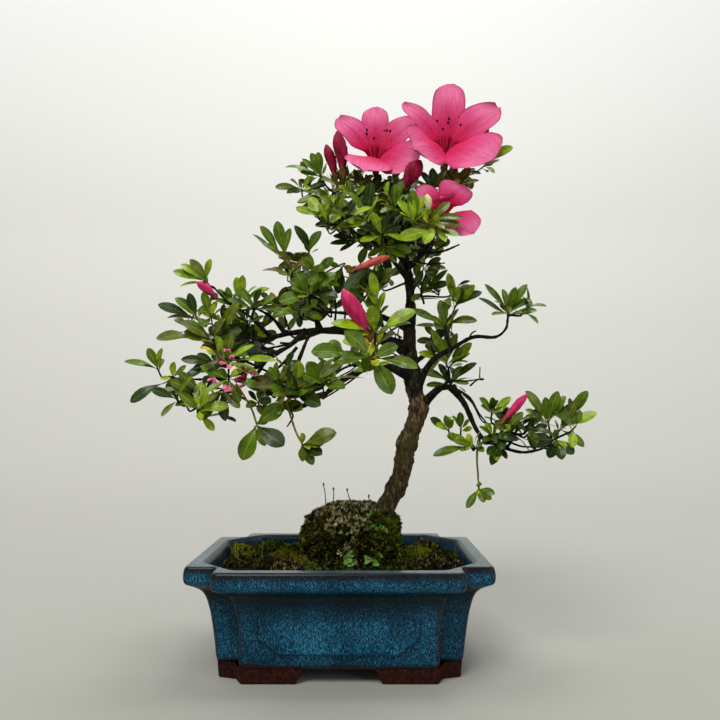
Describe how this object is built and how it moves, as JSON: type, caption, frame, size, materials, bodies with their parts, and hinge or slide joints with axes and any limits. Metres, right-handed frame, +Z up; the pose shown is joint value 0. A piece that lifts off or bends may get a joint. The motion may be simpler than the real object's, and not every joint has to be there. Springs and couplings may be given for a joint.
{
  "type": "azalea bonsai",
  "caption": "Flowering azalea bonsai with a leaning trunk and airy foliage pads, growing from a moss mound in a glazed rectangular pot.",
  "frame": {"origin": "on the ground, under the middle of the whole plant's bounding box", "axes": "+Z up, +X to the right and -Y to the front, seen as in the picture"},
  "size_m": [0.346, 0.2074, 0.411],
  "materials": {
    "glaze": "glossy mottled teal-blue glaze, with bare brown clay on the feet",
    "soil": "damp dark potting soil with moss",
    "moss": "dark green and tan moss",
    "bark": "matt grey-brown bark",
    "foliage": "semi-gloss green leaves, with pink petals on the blossom"
  },
  "bodies": {
    "root": {"pot": "glaze", "soil": "soil", "moss_mound": "moss", "trunk": "bark", "left_high_bough": "bark", "left_fork_bough": "bark", "left_reach_bough": "bark", "left_rise_bough": "bark", "left_crest_bough": "bark", "left_under_bough": "bark", "upper_left_bough": "bark", "inner_bough": "bark", "left_low_bough": "bark", "front_bough": "bark", "front_rise_bough": "bark", "crown_left_bough": "bark", "crown_front_left_bough": "bark", "crown_right_bough": "bark", "crown_back_bough": "bark", "high_stub": "bark", "right_high_bough": "bark", "right_spur_bough": "bark", "right_low_bough": "bark", "right_fall_bough": "bark", "right_stub": "bark", "right_middle_bough": "bark", "right_inner_bough": "bark", "right_near_bough": "bark", "back_left_bough": "bark", "back_low_bough": "bark", "back_right_bough": "bark", "left_tip_leaves": "foliage", "left_top_leaves": "foliage", "left_shoulder_leaves": "foliage", "left_crest_leaves": "foliage", "left_middle_leaves": "foliage", "left_under_leaves": "foliage", "inner_leaves": "foliage", "inner_hang_leaves": "foliage", "upper_left_leaves": "foliage", "front_leaves": "foliage", "front_rise_leaves": "foliage", "crown_left_leaves": "foliage", "crown_right_leaves": "foliage", "crown_front_left_leaves": "foliage", "crown_front_leaves": "foliage", "crown_top_leaves": "foliage", "crown_back_leaves": "foliage", "right_upper_leaves": "foliage", "right_spur_leaves": "foliage", "right_tip_leaves": "foliage", "right_middle_leaves": "foliage", "right_inner_leaves": "foliage", "right_near_leaves": "foliage", "right_far_leaves": "foliage", "back_left_leaves": "foliage", "back_low_leaves": "foliage", "back_middle_leaves": "foliage", "back_right_leaves": "foliage"}
  },
  "joints": []
}
